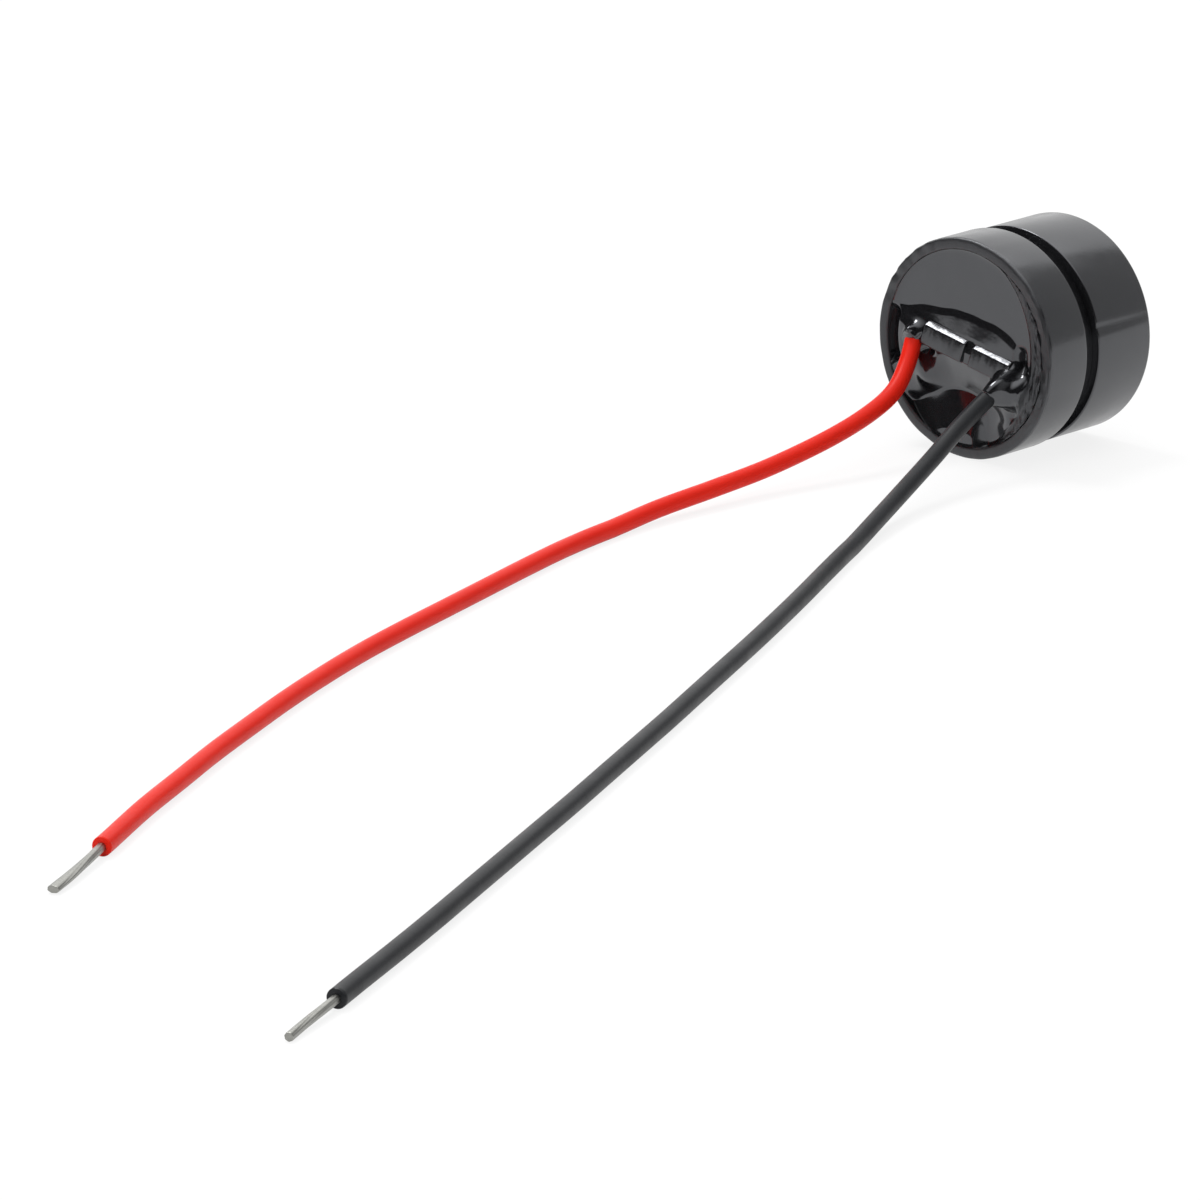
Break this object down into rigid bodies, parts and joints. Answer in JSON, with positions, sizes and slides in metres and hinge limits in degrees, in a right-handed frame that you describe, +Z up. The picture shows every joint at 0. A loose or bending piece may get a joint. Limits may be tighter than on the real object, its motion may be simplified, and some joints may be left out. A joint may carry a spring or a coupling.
{
  "type": "piezo buzzer",
  "caption": "Short black cylinder sounder lying on its side, with a waist groove, a potted rear face and a red and a black flying lead with bare tinned ends.",
  "frame": {"origin": "on the table under the middle of the body (case and resin, without the leads)", "axes": "+Y along the case axis out of the sound face, +Z up from the table, leads running to -Y"},
  "size_m": [0.0448, 0.0969, 0.012],
  "materials": {
    "case": "smooth black moulding",
    "resin": "glossy poured epoxy",
    "brass": "rolled sheet",
    "ceramic": "silvered ceramic",
    "glue": "soft silicone bead",
    "board": "laminate",
    "chip": "moulded",
    "capacitor": "fired",
    "tin": "tinned",
    "solder": "solder",
    "red_sleeve": "smooth PVC",
    "black_sleeve": "smooth PVC"
  },
  "bodies": {
    "root": {"front_case": "case", "rear_case": "case", "potting": "resin", "diaphragm_plate": "brass", "piezo_ceramic": "ceramic", "diaphragm_glue": "glue", "circuit_board": "board", "transistor_body": "chip", "transistor_legs": "tin", "bias_resistor": "chip", "feedback_resistor": "chip", "capacitor": "capacitor", "plate_jumper": "tin", "ceramic_jumper": "tin", "plate_solder": "solder", "ceramic_solder": "solder", "positive_pin": "tin", "negative_pin": "tin", "positive_solder": "solder", "negative_solder": "solder", "red_joint": "solder", "black_joint": "solder", "red_lead": "red_sleeve", "black_lead": "black_sleeve", "red_tinned_end": "tin", "black_tinned_end": "tin"}
  },
  "joints": []
}
